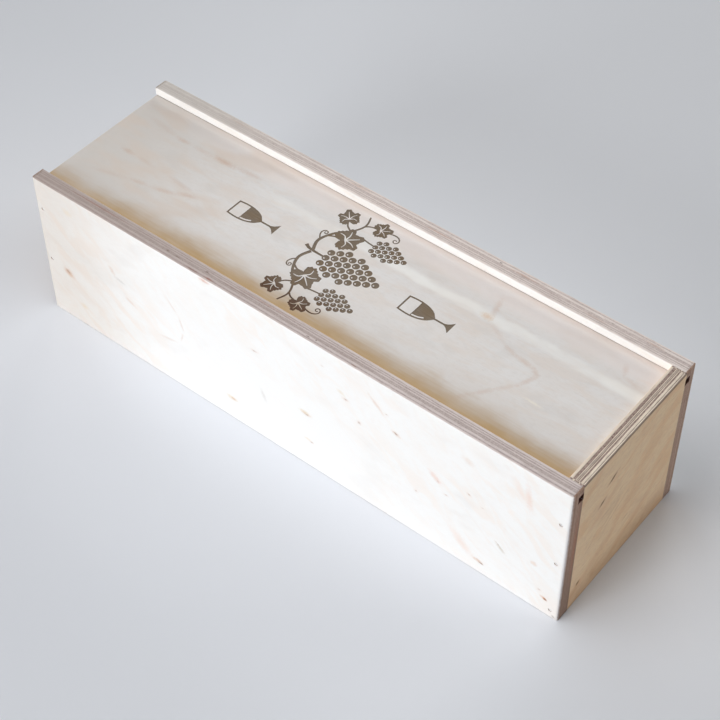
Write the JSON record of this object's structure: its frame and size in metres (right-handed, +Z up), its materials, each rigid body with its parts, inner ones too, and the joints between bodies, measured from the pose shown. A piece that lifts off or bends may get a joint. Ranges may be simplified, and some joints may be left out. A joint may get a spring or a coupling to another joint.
{
  "type": "sliding-lid wine box",
  "caption": "Long plywood box for one wine bottle, with a thin lid that slides in grooves along both sides and out over the lower end.",
  "frame": {"origin": "middle of the box, on the surface that it stands on", "axes": "+X along the box towards the full-height end that the lid stops against, +Y to the back, +Z up"},
  "size_m": [0.365, 0.11, 0.103],
  "materials": {
    "birch_plywood": "sanded, unfinished",
    "lid_plywood": "sanded, unfinished, with burnt decoration",
    "brad_steel": "dull zinc-plated"
  },
  "bodies": {
    "box": {"front_side": "birch_plywood", "back_side": "birch_plywood", "stop_end": "birch_plywood", "open_end": "birch_plywood", "bottom": "birch_plywood", "front_stop_brads": "brad_steel", "front_open_brads": "brad_steel", "back_stop_brads": "brad_steel", "back_open_brads": "brad_steel"},
    "lid": {"sliding_lid": "lid_plywood"}
  },
  "joints": [
    {"name": "lid_slide", "type": "slide", "parent": "box", "child": "lid", "axis": [-1, 0, 0], "range_m": [0, 0.356]}
  ]
}
